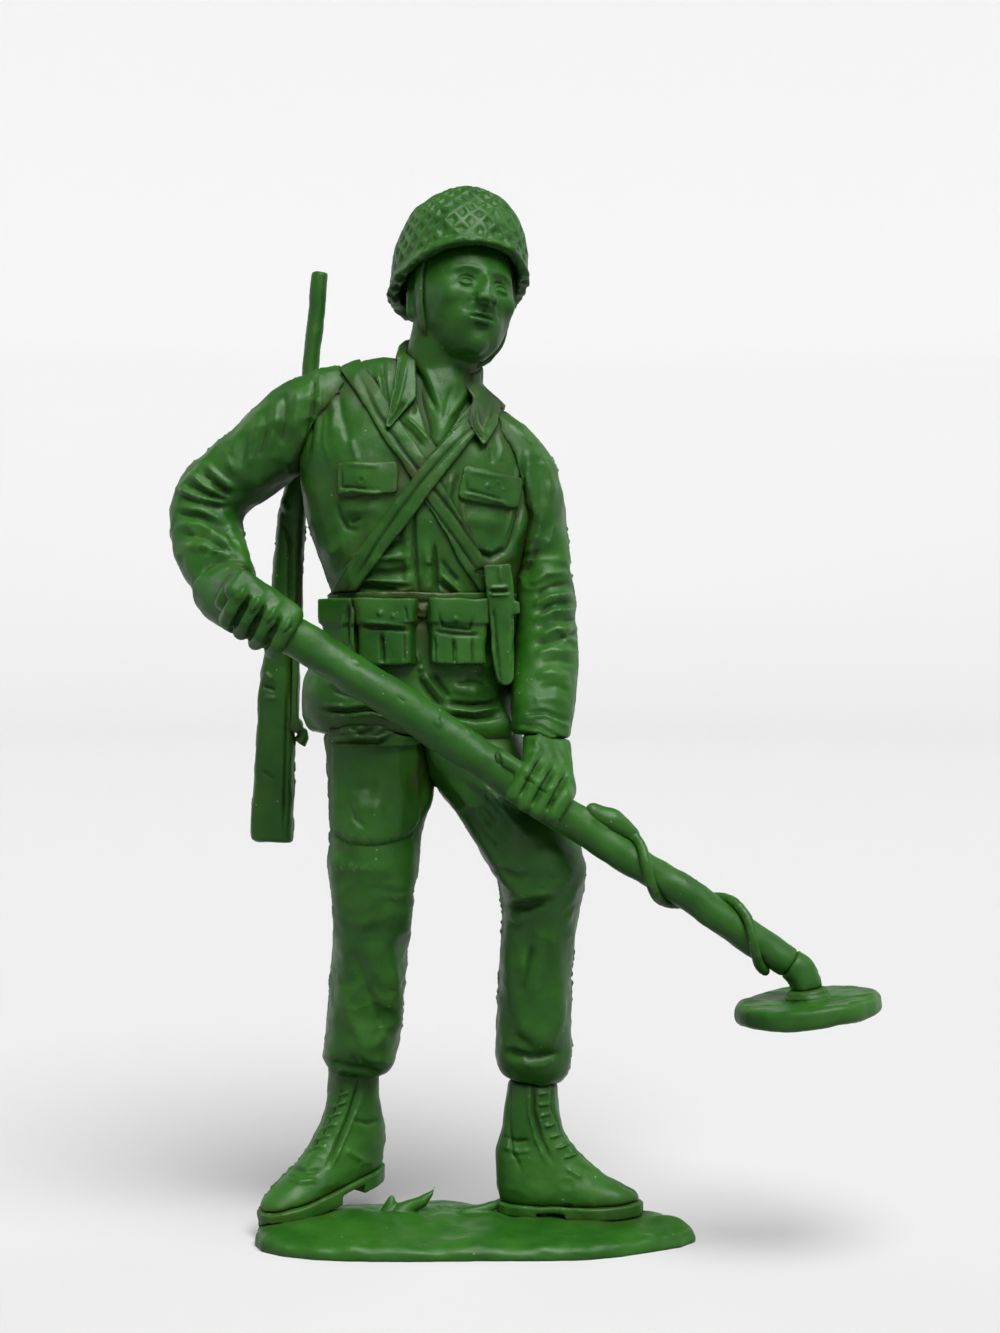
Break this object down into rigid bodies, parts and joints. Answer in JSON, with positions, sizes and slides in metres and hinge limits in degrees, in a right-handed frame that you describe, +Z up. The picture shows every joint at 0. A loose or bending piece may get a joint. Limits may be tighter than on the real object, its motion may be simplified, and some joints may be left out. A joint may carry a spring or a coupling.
{
  "type": "toy soldier figure",
  "caption": "Moulded green plastic toy soldier standing on a base, sweeping with a mine detector, helmet on, rifle slung behind the arm.",
  "frame": {"origin": "middle of the base's flat underside", "axes": "+Z up along the figure, -Y the way the figure faces, -X the figure's right side"},
  "size_m": [0.0997, 0.0388, 0.1498],
  "materials": {
    "moulded_cloth": "semi-gloss green polyethylene, moulded as wrinkled cloth",
    "moulded_gear": "semi-gloss green polyethylene, moulded as webbing, pouches and boots",
    "moulded_skin": "semi-gloss green polyethylene, moulded as skin",
    "moulded_plain": "semi-gloss green polyethylene, smooth"
  },
  "bodies": {
    "root": {"base_plate": "moulded_plain", "right_boot": "moulded_gear", "left_boot": "moulded_gear", "right_boot_sole": "moulded_gear", "left_boot_sole": "moulded_gear", "right_trouser_leg": "moulded_cloth", "left_trouser_leg": "moulded_cloth", "cargo_pocket": "moulded_cloth", "jacket_skirt": "moulded_cloth", "jacket_body": "moulded_cloth", "right_chest_flap": "moulded_cloth", "left_chest_flap": "moulded_cloth", "collar": "moulded_cloth", "bandolier_over": "moulded_gear", "bandolier_under": "moulded_gear", "waist_belt": "moulded_gear", "right_ammo_pouch": "moulded_gear", "left_ammo_pouch": "moulded_gear", "hip_pouch": "moulded_gear", "scabbard": "moulded_gear", "right_sleeve": "moulded_cloth", "left_sleeve": "moulded_cloth", "right_hand": "moulded_skin", "left_hand": "moulded_skin", "head": "moulded_skin", "helmet": "moulded_plain", "chin_strap": "moulded_gear", "rifle_barrel": "moulded_plain", "rifle_stock": "moulded_plain", "rifle_sling": "moulded_gear", "detector_pole": "moulded_plain", "detector_gooseneck": "moulded_plain", "detector_search_head": "moulded_plain", "detector_cable": "moulded_gear"}
  },
  "joints": []
}
